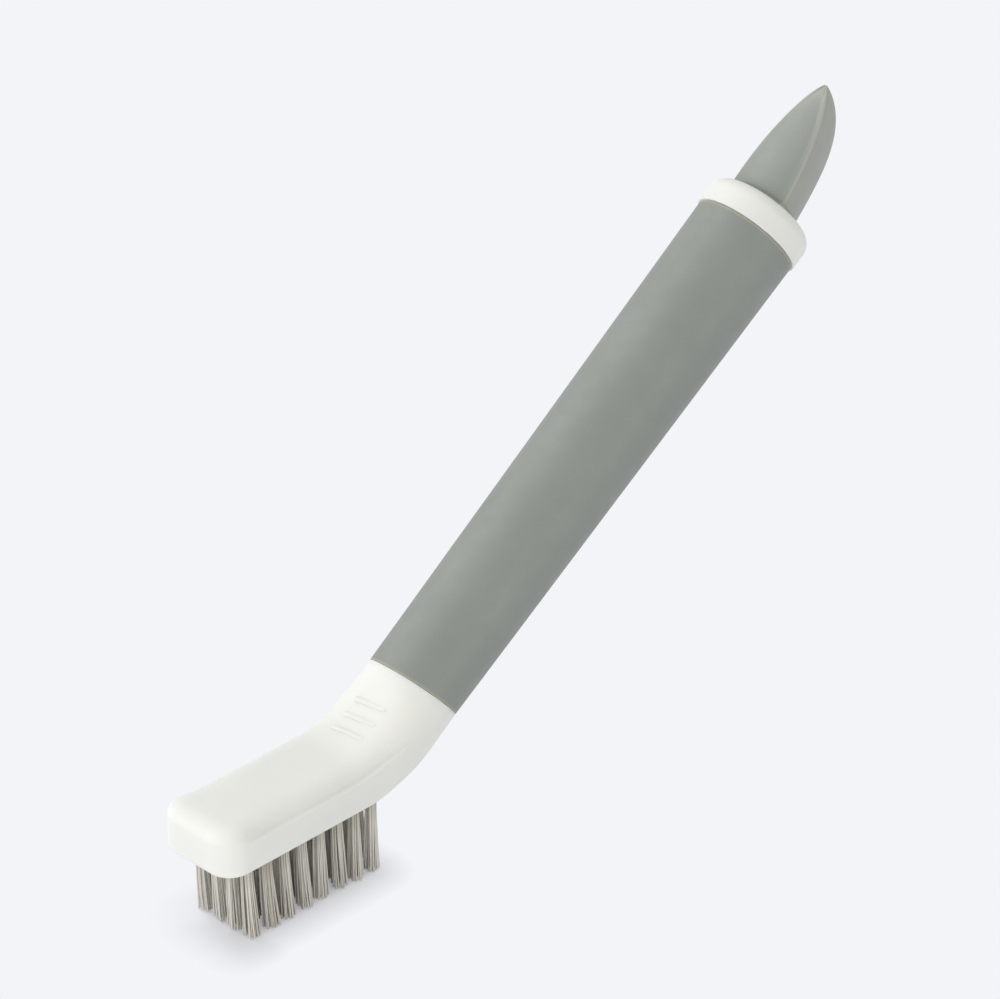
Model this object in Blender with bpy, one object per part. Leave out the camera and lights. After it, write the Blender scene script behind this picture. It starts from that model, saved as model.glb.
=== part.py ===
"""Utility brush: a white head and neck, a grey rubber grip, a white end collar and a grey scraper tip.

The brush stands on its bristle tips at z = 0 with its head level. The handle rises along +X, and the
brush is symmetric about y = 0. The origin is the middle of its outline, on the ground.
"""
import math

import bmesh
import bpy
from mathutils import Matrix, Vector

MM = 0.001

# Clearances
SEAT_GAP = 0.3 * MM             # left between faces that rest on each other
FIT_GAP = 0.3 * MM              # left all round a plug, bead or stem in its hole
WELD = 0.5 * MM                 # how far a fused detail reaches into what carries it
SIDE_FLAT = 0.15 * MM           # left between crown and sole arcs where the neck is round

# Bristles
ROWS = 8
COLUMNS = 4
ROW_PITCH = 4.5 * MM
COLUMN_PITCH = 4.1 * MM
BRISTLE_LENGTH = 16.6 * MM      # from the sole of the head to the tips
HOLE_RADIUS = 1.4 * MM
HOLE_DEPTH = 6.5 * MM
INNER_STRAND_COUNT = 3
OUTER_STRAND_COUNT = 9
STRAND_RADIUS = 0.24 * MM
STRAND_SIDES = 3
INNER_RING_RADIUS = 0.34 * MM
OUTER_RING_RADIUS = 0.84 * MM
TUFT_SPREAD = 1.7               # tuft width at the tips over its width at the sole
COMMON_LEAN = 0.6 * MM          # how far all tips lean towards the handle
END_LEAN = 0.4 * MM             # how far the tips of the first and last rows lean towards each other
SIDE_LEAN = 0.2 * MM            # how far the tips of the outer columns lean outwards
ANCHOR_THICKNESS = 0.5 * MM
ANCHOR_WIDTH = 1.8 * MM
ANCHOR_HEIGHT = 1.4 * MM

# Head
TOE_MARGIN = 7.6 * MM           # toe to the first row
SIDE_MARGIN = 3.55 * MM         # side of the head to the outermost column
HEAD_THICKNESS = 9.5 * MM
TOE_RADIUS = 5.0 * MM           # corners of the toe, seen from above
CROWN_WIDTH = 4.4 * MM          # roll from the back of the head into its sides: how far it reaches in
CROWN_DROP = 2.2 * MM           # and how far it drops
SOLE_RADIUS = 1.2 * MM          # edge between the sides and the sole
LEDGE_DEPTH = 0.35 * MM         # small step along each side, under the crown
LEDGE_DROP = 0.3 * MM
LEDGE_START = 5.0 * MM          # distance from the toe where the step starts to show
LEDGE_FULL = 12.0 * MM
LEDGE_FADE = (0.25, 0.7)        # shares of the bend between which the step fades out

# Neck
BEND_LEAD = 7.5 * MM            # the bend starts this far before the last row
BEND_RADIUS = 40.0 * MM         # of the middle line
HANDLE_RISE = math.radians(34.7)
TOP_FLARE = 2.2                 # how late the neck's top swells, and its crown
CROWN_FLARE = 1.6               # across
DROP_FLARE = 2.6                # and down
HEEL_BLEND = 2.0 * MM           # rounding where the sole meets the line of the grip
NECK_RUNOUT = 2.2 * MM          # straight length between the bend and the grip
RIB_COUNT = 3
RIB_PITCH = 3.9 * MM
RIB_FIRST = 9.0 * MM            # along the middle line, from the start of the bend
RIB_LENGTH = 7.7 * MM
RIB_WIDTH = 0.9 * MM
RIB_HEIGHT = 0.35 * MM
RIB_END = 0.4 * MM              # length of the tapered ends
RIB_END_TAPER = 0.5             # size of a rib's end over its middle

# Grip and the core inside it
GRIP_LENGTH = 109.0 * MM
GRIP_RADIUS = 9.5 * MM          # at the neck
GRIP_END_RADIUS = 10.8 * MM     # at the collar
GRIP_SLANT = math.radians(6.0)  # of the seam at the neck, whose top lies nearer the head
GRIP_EDGE = 0.3 * MM
CORE_RADIUS = 7.0 * MM
BORE_RADIUS = 4.8 * MM
BORE_DEPTH = 96.0 * MM
GROOVE_COUNT = 3
GROOVE_WIDTH = 4.0 * MM
GROOVE_DEPTH = 0.9 * MM

# End collar
COLLAR_LENGTH = 6.2 * MM
COLLAR_RADIUS = 11.2 * MM
COLLAR_RIM = 2.5 * MM           # rounding of its outer end
COLLAR_EDGE = 0.4 * MM
COLLAR_OVERLAP = 3.6 * MM       # how far the core reaches into it
PLUG_LENGTH = 12.0 * MM
PLUG_LEAD = 1.0 * MM            # chamfer at the end of the plug

# Rubber tip and the tongue that holds it
TIP_LENGTH = 25.4 * MM
TIP_WIDTH = 13.8 * MM
TIP_DEPTH = 12.0 * MM           # from its edge down to its underside
TIP_EDGE_HEIGHT = 4.8 * MM      # edge above the handle's axis, at the collar
TIP_POINT_HEIGHT = 7.9 * MM
TIP_CROWN = 2.8 * MM            # swell of its face above the edge
TIP_CROWN_TURN = math.radians(44)   # slope of that swell where it meets the edge
PLAN_POWER = 2.1                # fullness of the tip's outline, seen on its face
KEEL_POWER = 6.0                # fullness of its underside, seen from the side
TONGUE_LENGTH = 13.0 * MM
TONGUE_WIDTH = 6.0 * MM
TONGUE_THICKNESS = 2.2 * MM
BARB_LENGTH = 2.5 * MM
BARB_THICKNESS = 4.0 * MM
BARB_SETBACK = 2.0 * MM

# Finish and smoothness
PLASTIC_ROUGHNESS = 0.38
GRIP_ROUGHNESS = 0.72
TIP_ROUGHNESS = 0.62
BRISTLE_ROUGHNESS = 0.5
SMOOTH_ANGLE = math.radians(35)
CORNER_STEPS = 6                # segments in each rounded corner of a head or neck section
TOE_STEPS = 7
BEND_STEPS = 14
ROUND_SIDES = 30                # two for each point of half a head section
HOLE_SIDES = 12
ROOT_SIDES = 8
RIM_STEPS = 5
TIP_STEPS = 16
TIP_FACE_STEPS = 10
TIP_KEEL_STEPS = 14

HEAD_WIDTH = (COLUMNS - 1) * COLUMN_PITCH + 2 * SIDE_MARGIN
HEAD_STRAIGHT = TOE_MARGIN + (ROWS - 1) * ROW_PITCH - BEND_LEAD
HALF_THICKNESS = HEAD_THICKNESS / 2
MIDDLE_HEIGHT = BRISTLE_LENGTH + HALF_THICKNESS

WHITE = (0.80, 0.80, 0.775)
GREY = (0.285, 0.31, 0.28)
BRISTLE = (0.46, 0.43, 0.385)


def clear_scene():
    for item in list(bpy.data.objects):
        bpy.data.objects.remove(item, do_unlink=True)


def material(name, colour, roughness):
    made = bpy.data.materials.new(name)
    made.use_nodes = True
    shader = made.node_tree.nodes["Principled BSDF"]
    shader.inputs["Base Color"].default_value = (*colour, 1.0)
    shader.inputs["Roughness"].default_value = roughness
    shader.inputs["Metallic"].default_value = 0.0
    made.diffuse_color = (*colour, 1.0)
    return made


def add_object(name, mesh, finish, parent, smooth=True):
    mesh.materials.append(finish)
    if smooth:
        mesh.shade_smooth()
        mesh.set_sharp_from_angle(angle=SMOOTH_ANGLE)
    made = bpy.data.objects.new(name, mesh)
    bpy.context.collection.objects.link(made)
    made.parent = parent
    return made


def add_empty(name, matrix, parent=None):
    made = bpy.data.objects.new(name, None)
    bpy.context.collection.objects.link(made)
    made.parent = parent
    made.matrix_local = matrix
    return made


def loft_mesh(name, rings, point=None, loop=False):
    """Skins rings of equal counts. It is capped at both ends, ends in a point, or closes on itself."""
    bm = bmesh.new()
    skins = [[bm.verts.new(spot) for spot in ring] for ring in rings]
    pairs = list(zip(skins, skins[1:]))
    if loop:
        pairs.append((skins[-1], skins[0]))
    for near, far in pairs:
        for i in range(len(near)):
            j = (i + 1) % len(near)
            bm.faces.new((near[i], near[j], far[j], far[i]))
    if not loop:
        bm.faces.new(skins[0])
        if point is None:
            bm.faces.new(skins[-1])
        else:
            apex = bm.verts.new(point)
            last = skins[-1]
            for i in range(len(last)):
                bm.faces.new((last[i], last[(i + 1) % len(last)], apex))
    bmesh.ops.recalc_face_normals(bm, faces=bm.faces)
    mesh = bpy.data.meshes.new(name)
    bm.to_mesh(mesh)
    bm.free()
    return mesh


def box_mesh(name, low, high):
    corners = ((low[1], low[2]), (high[1], low[2]), (high[1], high[2]), (low[1], high[2]))
    return loft_mesh(name, [[(x, y, z) for y, z in corners] for x in (low[0], high[0])])


def boolean(target, tool_mesh, operation):
    """Applies one cut or union. The tool stands in the target's own coordinates."""
    bpy.context.view_layer.update()
    tool = bpy.data.objects.new(target.name + "_tool", tool_mesh)
    tool.hide_render = True
    tool.display_type = "WIRE"
    bpy.context.collection.objects.link(tool)
    tool.matrix_world = target.matrix_world
    modifier = target.modifiers.new(operation.title(), "BOOLEAN")
    modifier.operation = operation
    modifier.solver = "EXACT"
    modifier.object = tool
    graph = bpy.context.evaluated_depsgraph_get()
    result = bpy.data.meshes.new_from_object(target.evaluated_get(graph))
    target.modifiers.remove(modifier)
    target.data = result
    bpy.data.objects.remove(tool, do_unlink=True)


def join_meshes(name, meshes):
    bm = bmesh.new()
    for mesh in meshes:
        bm.from_mesh(mesh)
    joined = bpy.data.meshes.new(name)
    bm.to_mesh(joined)
    bm.free()
    return joined


def mix(low, high, share):
    return low + (high - low) * share


def smooth_step(low, high, value):
    share = min(max((value - low) / (high - low), 0.0), 1.0)
    return share * share * (3 - 2 * share)


def smooth_min(first, second, blend):
    overlap = max(blend - abs(first - second), 0.0) / blend
    return min(first, second) - overlap * overlap * blend / 4


def circle(radius, sides=ROUND_SIDES):
    """Points of a circle, clockwise from half a side past its top."""
    turns = [math.pi / 2 - 2 * math.pi * (i + 0.5) / sides for i in range(sides)]
    return [(radius * math.cos(turn), radius * math.sin(turn)) for turn in turns]


# Frame of the handle

def bend_centre():
    return Vector((HEAD_STRAIGHT, 0, MIDDLE_HEIGHT + BEND_RADIUS))


def handle_matrix():
    """X runs along the handle from the middle of the grip's lower seam, and Z points to its top side."""
    along = Vector((math.cos(HANDLE_RISE), 0, math.sin(HANDLE_RISE)))
    up = Vector((-math.sin(HANDLE_RISE), 0, math.cos(HANDLE_RISE)))
    start = bend_centre() - up * BEND_RADIUS + along * NECK_RUNOUT
    columns = Matrix((along, Vector((0, 1, 0)), up)).transposed()
    return Matrix.Translation(start) @ columns.to_4x4()


def seam_shift(height):
    """How far the slanted seam lies along the axis at a height above it."""
    return -math.tan(GRIP_SLANT) * height


def slanted_ring(radius, offset):
    return [(offset + seam_shift(z), y, z) for y, z in circle(radius)]


def straight_ring(radius, offset):
    return [(offset, y, z) for y, z in circle(radius)]


# Brush body

def mirrored(half):
    """A whole section from its right half, which runs from the top down: crown arc, ledge, sole arc."""
    return half + [(-y, z) for y, z in reversed(half)]


def plan_half_width(distance, inset):
    """Half the width of the head's outline, drawn in by inset, at a distance from the toe."""
    radius = TOE_RADIUS - inset
    reach = min(max(TOE_RADIUS - distance, 0.0), radius)
    return HEAD_WIDTH / 2 - TOE_RADIUS + math.sqrt(radius * radius - reach * reach)


def rolled_arc(distance, width, drop, sign, ledge):
    """One rolled edge of the head: an elliptic arc from its side to its back or its sole."""
    full_turn = math.acos(max(1 - distance / width, 0.0))
    arc = []
    for i in range(CORNER_STEPS + 1):
        turn = full_turn * i / CORNER_STEPS
        inset = width * (1 - math.cos(turn))
        height = HALF_THICKNESS - drop * (1 - math.sin(turn))
        arc.append((plan_half_width(distance, inset) - ledge, sign * height))
    return arc


def head_section(distance):
    ledge = LEDGE_DEPTH * smooth_step(LEDGE_START, LEDGE_FULL, distance)
    crown = list(reversed(rolled_arc(distance, CROWN_WIDTH, CROWN_DROP, 1, ledge)))
    side = [(plan_half_width(distance, 0.0), HALF_THICKNESS - CROWN_DROP - LEDGE_DROP)]
    sole = rolled_arc(distance, SOLE_RADIUS, SOLE_RADIUS, -1, 0.0)
    return mirrored(crown + side + sole)


def corner_arc(half_width, reach, width, drop, sign):
    """Elliptic quarter arc from the side to the top or the bottom of a neck section."""
    arc = []
    for i in range(CORNER_STEPS + 1):
        turn = math.pi / 2 * i / CORNER_STEPS
        y = half_width - width * (1 - math.cos(turn))
        arc.append((y, sign * (reach - drop * (1 - math.sin(turn)))))
    return arc


def neck_top(share):
    return mix(HALF_THICKNESS, GRIP_RADIUS, share ** TOP_FLARE)


def neck_bottom(turn):
    """From the middle line down to the sole, which is flat until it meets the line of the grip."""
    flat = (BEND_RADIUS + HALF_THICKNESS) / math.cos(turn)
    line = (BEND_RADIUS + GRIP_RADIUS) / math.cos(HANDLE_RISE - turn)
    return smooth_min(flat, line, HEEL_BLEND) - BEND_RADIUS


def neck_section(share):
    """Section at a share of the bend, from the head's rounded box to the grip's circle."""
    top = neck_top(share)
    bottom = neck_bottom(share * HANDLE_RISE)
    half_width = mix(HEAD_WIDTH / 2, GRIP_RADIUS, share)
    round_radius = GRIP_RADIUS - SIDE_FLAT
    ledge = LEDGE_DEPTH * (1 - smooth_step(*LEDGE_FADE, share))
    crown_width = mix(CROWN_WIDTH, round_radius, share ** CROWN_FLARE)
    crown_drop = mix(CROWN_DROP, round_radius, share ** DROP_FLARE)
    sole_radius = mix(SOLE_RADIUS, round_radius, smooth_step(0.0, 1.0, share))
    crown = [(y - ledge, z) for y, z in reversed(corner_arc(half_width, top, crown_width, crown_drop, 1))]
    step = min(LEDGE_DROP, (top - crown_drop + bottom - sole_radius) / 2)
    side = [(half_width, top - crown_drop - step)]
    sole = corner_arc(half_width, bottom, sole_radius, sole_radius, -1)
    return mirrored(crown + side + sole)


def head_rings():
    distances = [TOE_RADIUS * (1 - math.cos(math.pi / 2 * i / TOE_STEPS)) for i in range(TOE_STEPS + 1)]
    distances += [LEDGE_FULL, (LEDGE_FULL + HEAD_STRAIGHT) / 2, HEAD_STRAIGHT]
    return [[(x, y, MIDDLE_HEIGHT + z) for y, z in head_section(x)] for x in distances]


def bend_point(turn, y, z):
    """A point at a height above the middle line, at a turn round the bend."""
    reach = BEND_RADIUS - z
    centre = bend_centre()
    return (centre.x + reach * math.sin(turn), y, centre.z - reach * math.cos(turn))


def neck_rings():
    rings = []
    for i in range(1, BEND_STEPS + 1):
        share = i / BEND_STEPS
        rings.append([bend_point(share * HANDLE_RISE, y, z) for y, z in neck_section(share)])
    return rings


def core_end():
    return GRIP_LENGTH + SEAT_GAP + COLLAR_OVERLAP


def groove_centres():
    return [GRIP_LENGTH * (i + 1) / (GROOVE_COUNT + 1) for i in range(GROOVE_COUNT)]


def groove_profile(radius, depth, half_width):
    """Radius and place of the four corners of each groove, from the neck to the collar."""
    profile = []
    for centre in groove_centres():
        profile.append((radius, centre - half_width - depth))
        profile.append((radius - depth, centre - half_width))
        profile.append((radius - depth, centre + half_width))
        profile.append((radius, centre + half_width + depth))
    return profile


def core_rings():
    """The shoulder, the core with its grooves, and back down its bore, in the handle's frame."""
    outer = [(seam_shift(z), y, z) for y, z in neck_section(1.0)]
    rings = [outer, slanted_ring(CORE_RADIUS, 0.0)]
    for radius, place in groove_profile(CORE_RADIUS, GROOVE_DEPTH, GROOVE_WIDTH / 2):
        rings.append(straight_ring(radius, place))
    rings.append(straight_ring(CORE_RADIUS, core_end()))
    rings.append(straight_ring(BORE_RADIUS, core_end()))
    rings.append(straight_ring(BORE_RADIUS, core_end() - BORE_DEPTH))
    return rings


def tuft_places():
    """Row, column and place of each tuft on the sole."""
    for row in range(ROWS):
        for column in range(COLUMNS):
            x = TOE_MARGIN + row * ROW_PITCH
            y = (column - (COLUMNS - 1) / 2) * COLUMN_PITCH
            yield row, column, x, y


def upright_prism(name, radius, sides, x, y, low, high):
    spots = [(x + a, y + b) for a, b in circle(radius, sides)]
    return loft_mesh(name, [[(a, b, z) for a, b in spots] for z in (low, high)])


def hole_mesh():
    low = BRISTLE_LENGTH - WELD
    high = BRISTLE_LENGTH + HOLE_DEPTH
    drills = [upright_prism("drill", HOLE_RADIUS, HOLE_SIDES, x, y, low, high)
              for row, column, x, y in tuft_places()]
    return join_meshes("drills", drills)


def rib_mesh(place):
    """One small rib across the neck's top: a bar with a rounded back."""
    share = place / (BEND_RADIUS * HANDLE_RISE)
    turn = share * HANDLE_RISE
    top = neck_top(share)
    half_length = RIB_LENGTH / 2
    stations = [(-half_length, RIB_END_TAPER), (RIB_END - half_length, 1.0),
                (half_length - RIB_END, 1.0), (half_length, RIB_END_TAPER)]
    rings = []
    for y, size in stations:
        half_width = RIB_WIDTH / 2 * size
        across = [(-half_width, -WELD), (-half_width, 0.0), (-half_width / 2, RIB_HEIGHT * size),
                  (half_width / 2, RIB_HEIGHT * size), (half_width, 0.0), (half_width, -WELD)]
        rings.append([bend_point(turn + along / BEND_RADIUS, y, top + height) for along, height in across])
    return loft_mesh("rib", rings)


def build_body(finish, frame):
    handle = handle_matrix()
    core = [[handle @ Vector(spot) for spot in ring] for ring in core_rings()]
    mesh = loft_mesh("brush_body", head_rings() + neck_rings() + core)
    body = add_object("brush_body", mesh, finish, frame)
    boolean(body, hole_mesh(), "DIFFERENCE")
    ribs = [rib_mesh(RIB_FIRST + i * RIB_PITCH) for i in range(RIB_COUNT)]
    boolean(body, join_meshes("ribs", ribs), "UNION")


# Grip

def build_grip(finish, handle):
    bore = CORE_RADIUS + FIT_GAP
    rings = [slanted_ring(bore, SEAT_GAP), slanted_ring(GRIP_RADIUS - GRIP_EDGE, SEAT_GAP),
             slanted_ring(GRIP_RADIUS, SEAT_GAP + GRIP_EDGE),
             straight_ring(GRIP_END_RADIUS, GRIP_LENGTH - GRIP_EDGE),
             straight_ring(GRIP_END_RADIUS - GRIP_EDGE, GRIP_LENGTH), straight_ring(bore, GRIP_LENGTH)]
    beads = groove_profile(bore, GROOVE_DEPTH, GROOVE_WIDTH / 2 - FIT_GAP)
    rings += [straight_ring(radius, place) for radius, place in reversed(beads)]
    add_object("grip_sleeve", loft_mesh("grip_sleeve", rings, loop=True), finish, handle)


# End collar

def tongue_mesh(start, grow):
    """Tongue with a barb across its end. The pocket in the rubber tip is the same, grown all round."""
    end = start + TONGUE_LENGTH
    half_width = TONGUE_WIDTH / 2 + grow
    blade = TONGUE_THICKNESS / 2 + grow
    barb = BARB_THICKNESS / 2 + grow
    barb_end = end - BARB_SETBACK + grow
    barb_start = end - BARB_SETBACK - BARB_LENGTH - grow
    slope = barb - blade
    outline = [(start - WELD, blade), (barb_start - slope, blade), (barb_start, barb),
               (barb_end, barb), (end + grow, blade)]
    rings = [[(x, -half_width, z), (x, half_width, z), (x, half_width, -z), (x, -half_width, -z)]
             for x, z in outline]
    return loft_mesh("tongue", rings)


def collar_profile():
    """Radius and place from the collar's inner groove, round its rim, to the middle of its front."""
    back = GRIP_LENGTH + SEAT_GAP
    front = back + COLLAR_LENGTH
    bore = CORE_RADIUS + FIT_GAP
    plug = BORE_RADIUS - FIT_GAP
    profile = [(plug - PLUG_LEAD, back - PLUG_LENGTH), (plug, back - PLUG_LENGTH + PLUG_LEAD),
               (plug, core_end() + SEAT_GAP), (bore, core_end() + SEAT_GAP), (bore, back),
               (COLLAR_RADIUS - COLLAR_EDGE, back), (COLLAR_RADIUS, back + COLLAR_EDGE)]
    for i in range(RIM_STEPS + 1):
        turn = math.pi / 2 * i / RIM_STEPS
        radius = COLLAR_RADIUS - COLLAR_RIM * (1 - math.cos(turn))
        profile.append((radius, front - COLLAR_RIM * (1 - math.sin(turn))))
    return profile


def build_collar(finish, handle):
    rings = [straight_ring(radius, place) for radius, place in collar_profile()]
    collar = add_object("end_collar", loft_mesh("end_collar", rings), finish, handle)
    front = GRIP_LENGTH + SEAT_GAP + COLLAR_LENGTH
    boolean(collar, tongue_mesh(front, 0.0), "UNION")


# Rubber tip

def tip_section(share):
    """Section of the tip: a domed face over a deep rounded keel, with an edge on each side."""
    half_width = TIP_WIDTH / 2 * (1 - share ** PLAN_POWER)
    edge = mix(TIP_EDGE_HEIGHT, TIP_POINT_HEIGHT, share)
    crown = TIP_CROWN * (1 - share)
    depth = TIP_DEPTH * math.sqrt(1 - share ** KEEL_POWER)
    flat = math.cos(TIP_CROWN_TURN)
    ring = []
    for i in range(TIP_FACE_STEPS):
        turn = mix(TIP_CROWN_TURN, -TIP_CROWN_TURN, i / TIP_FACE_STEPS)
        swell = (math.cos(turn) - flat) / (1 - flat)
        ring.append((half_width * math.sin(turn) / math.sin(TIP_CROWN_TURN), edge + crown * swell))
    for i in range(TIP_KEEL_STEPS):
        turn = math.pi + math.pi * i / TIP_KEEL_STEPS
        ring.append((half_width * math.cos(turn), edge + depth * math.sin(turn)))
    return ring


def build_tip(finish, handle):
    start = GRIP_LENGTH + SEAT_GAP + COLLAR_LENGTH + SEAT_GAP
    rings = []
    for i in range(TIP_STEPS):
        share = math.sin(math.pi / 2 * i / TIP_STEPS)
        rings.append([(start + share * TIP_LENGTH, y, z) for y, z in tip_section(share)])
    point = (start + TIP_LENGTH, 0, TIP_POINT_HEIGHT)
    tip = add_object("rubber_tip", loft_mesh("rubber_tip", rings, point), finish, handle)
    boolean(tip, tongue_mesh(start - SEAT_GAP, FIT_GAP), "DIFFERENCE")


# Tufts

def strand_mesh(x, y, end_x, end_y):
    """One filament from inside the root to the ground."""
    ring = circle(STRAND_RADIUS, STRAND_SIDES)
    top = BRISTLE_LENGTH + WELD
    return loft_mesh("strand", [[(x + a, y + b, top) for a, b in ring],
                                [(end_x + a, end_y + b, 0.0) for a, b in ring]])


def tuft_strands(lean_x, lean_y):
    strands = []
    for count, radius in ((INNER_STRAND_COUNT, INNER_RING_RADIUS), (OUTER_STRAND_COUNT, OUTER_RING_RADIUS)):
        for i in range(count):
            turn = 2 * math.pi * i / count
            x, y = radius * math.cos(turn), radius * math.sin(turn)
            strands.append(strand_mesh(x, y, x * TUFT_SPREAD + lean_x, y * TUFT_SPREAD + lean_y))
    return join_meshes("strands", strands)


def build_tuft(row, column, x, y, finish, frame):
    """A root that fills its hole, with its anchor on top and its filaments below."""
    name = f"tuft_r{row + 1}_c{column + 1}"
    radius = HOLE_RADIUS - FIT_GAP
    top = BRISTLE_LENGTH + HOLE_DEPTH - FIT_GAP
    root = upright_prism(name, radius, ROOT_SIDES, 0, 0, BRISTLE_LENGTH, top - ANCHOR_HEIGHT)
    tuft = add_object(name, root, finish, frame, smooth=False)
    tuft.location = (x, y, 0)
    anchor_low = (-ANCHOR_THICKNESS / 2, -ANCHOR_WIDTH / 2, top - ANCHOR_HEIGHT - WELD)
    anchor_high = (ANCHOR_THICKNESS / 2, ANCHOR_WIDTH / 2, top)
    boolean(tuft, box_mesh("anchor", anchor_low, anchor_high), "UNION")
    lean_x = COMMON_LEAN - END_LEAN * (2 * row / (ROWS - 1) - 1)
    lean_y = SIDE_LEAN * (2 * column / (COLUMNS - 1) - 1)
    boolean(tuft, tuft_strands(lean_x, lean_y), "UNION")


def centre_on_origin(frame):
    """Moves the whole brush along X until the middle of its outline is over the origin."""
    bpy.context.view_layer.update()
    reach = [(item.matrix_world @ vertex.co).x for item in bpy.data.objects if item.type == "MESH"
             for vertex in item.data.vertices]
    frame.location.x = -(min(reach) + max(reach)) / 2
    bpy.context.view_layer.update()


def build():
    clear_scene()
    frame = add_empty("brush_frame", Matrix.Identity(4))
    handle = add_empty("handle_frame", handle_matrix(), frame)
    build_body(material("white_plastic_body", WHITE, PLASTIC_ROUGHNESS), frame)
    build_grip(material("grey_rubber_grip", GREY, GRIP_ROUGHNESS), handle)
    build_collar(material("white_plastic_collar", WHITE, PLASTIC_ROUGHNESS), handle)
    build_tip(material("grey_rubber_tip", GREY, TIP_ROUGHNESS), handle)
    bristle = material("bristle_nylon", BRISTLE, BRISTLE_ROUGHNESS)
    for row, column, x, y in tuft_places():
        build_tuft(row, column, x, y, bristle, frame)
    centre_on_origin(frame)


build()
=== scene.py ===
import math
import random

import bmesh
import bpy
from mathutils import Matrix, Vector


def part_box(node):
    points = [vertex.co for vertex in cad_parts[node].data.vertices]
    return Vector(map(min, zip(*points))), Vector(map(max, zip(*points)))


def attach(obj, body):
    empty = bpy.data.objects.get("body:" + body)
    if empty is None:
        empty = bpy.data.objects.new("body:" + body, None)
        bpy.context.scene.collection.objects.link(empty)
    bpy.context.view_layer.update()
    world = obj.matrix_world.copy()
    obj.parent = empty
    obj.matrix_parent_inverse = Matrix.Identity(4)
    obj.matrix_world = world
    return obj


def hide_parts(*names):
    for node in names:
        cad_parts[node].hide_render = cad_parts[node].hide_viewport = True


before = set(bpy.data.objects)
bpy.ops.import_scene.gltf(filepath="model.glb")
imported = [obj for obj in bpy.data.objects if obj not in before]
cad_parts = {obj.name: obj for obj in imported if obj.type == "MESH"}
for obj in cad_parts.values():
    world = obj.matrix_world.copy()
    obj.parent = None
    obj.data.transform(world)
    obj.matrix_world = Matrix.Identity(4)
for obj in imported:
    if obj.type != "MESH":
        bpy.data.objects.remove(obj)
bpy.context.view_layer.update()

MM = 0.001
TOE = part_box("brush_body")[0].x

# Head
ROWS = 8
COLUMNS = 4
ROW_PITCH = 4.5 * MM
COLUMN_PITCH = 4.1 * MM
SOLE = 16.6 * MM                # height of the sole above the floor
TOE_MARGIN = 7.6 * MM           # from the toe to the first row of tufts
HEAD_WIDTH = 19.4 * MM
HEAD_THICKNESS = 9.5 * MM
HEAD_STRAIGHT = 31.6 * MM       # from the toe to the start of the bend
TOE_RADIUS = 5.0 * MM
CROWN_WIDTH = 4.4 * MM          # of the roll along the top edge, across the head
CROWN_DROP = 2.2 * MM           # and downwards
SOLE_RADIUS = 1.2 * MM
LEDGE_DEPTH = 0.75 * MM
LEDGE_DROP = 0.42 * MM
LEDGE_STATIONS = [4.4 * MM, 5.4 * MM, 6.4 * MM, 7.4 * MM, 8.4 * MM, 10.0 * MM]
HOLE_RADIUS = 1.4 * MM
HOLE_DEPTH = 6.5 * MM

# Neck
BEND_RADIUS = 40.0 * MM
RISE = math.radians(34.7)       # of the handle over the head
TOP_FLARE = 2.2                 # how late in the bend the top, the crown's width and its drop grow round
CROWN_FLARE = 1.6
DROP_FLARE = 2.6
HEEL_BLEND = 4.0 * MM           # how softly the sole turns into the handle's underside
HEEL_ROUNDING = (0.15, 1.0)     # where on the bend the sole's edge grows round
LEDGE_FADE = (0.4, 0.9)         # where on the bend the ledge runs out
SIDE_FLAT = 0.15 * MM           # left between the rolled edges where the neck is round
NECK_RUNOUT = 2.2 * MM          # from the end of the bend to the grip's seam
RIB_COUNT = 3
RIB_PITCH = 3.9 * MM
RIB_FIRST = 9.0 * MM            # from the start of the bend
RIB_LENGTH = 7.7 * MM
RIB_WIDTH = 1.05 * MM
RIB_HEIGHT = 0.16 * MM
RIB_TURN = math.radians(7.0)    # the near end of each rib lies a little up the handle

# Grip, collar and tip
GRIP_LENGTH = 109.0 * MM
GRIP_RADIUS = 9.5 * MM
GRIP_END_RADIUS = 10.8 * MM
GRIP_SLANT = math.radians(6.0)  # of its lower seam
GRIP_EDGE = 0.2 * MM
CORE_RADIUS = 7.0 * MM
SEAM = 0.04 * MM                # hairline left between two pieces
GAP = 0.3 * MM
COLLAR_LENGTH = 6.2 * MM
COLLAR_RADIUS = 11.2 * MM
COLLAR_RIM = 2.9 * MM
COLLAR_EDGE = 0.15 * MM
TIP_LENGTH = 25.3 * MM
TIP_WIDTH = 13.5 * MM
TIP_DEPTH = 12.0 * MM           # of the keel below the edges
TIP_EDGE_HEIGHT = 4.8 * MM      # of the edges over the handle's middle, at the collar
TIP_POINT_HEIGHT = 7.9 * MM     # and at the point
TIP_CROWN = 2.8 * MM            # of the face's dome over the edges, at the collar
TIP_CROWN_TURN = math.radians(44)
TIP_RIM = 0.35 * MM             # radius of the rounded rim along each edge
TIP_RIM_RISE = 0.30 * MM
TIP_RIM_REACH = 1.3 * MM        # how far in from the edge the face starts to rise
TIP_RIM_MOST = 1 / 3            # of the half width, where the tip is narrow
TIP_REACH_MOST = 1 / 2
PLAN_POWER = 1.87               # how the width runs out towards the point
PLAN_ROUNDING = 0.70
KEEL_POWER = 5.0                # how the keel does
TIP_LAST_SHARE = 0.995          # of the way to the point, where the tip's small end face is
TIP_FOOT = 0.96                 # size of its foot, where the collar holds it, over the size above
TIP_FOOT_STEPS = [0.45 * MM, 0.6 * MM, 0.75 * MM, 0.9 * MM]
TIP_SHIFT = 0.4 * MM            # of the tip towards the near side

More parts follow.
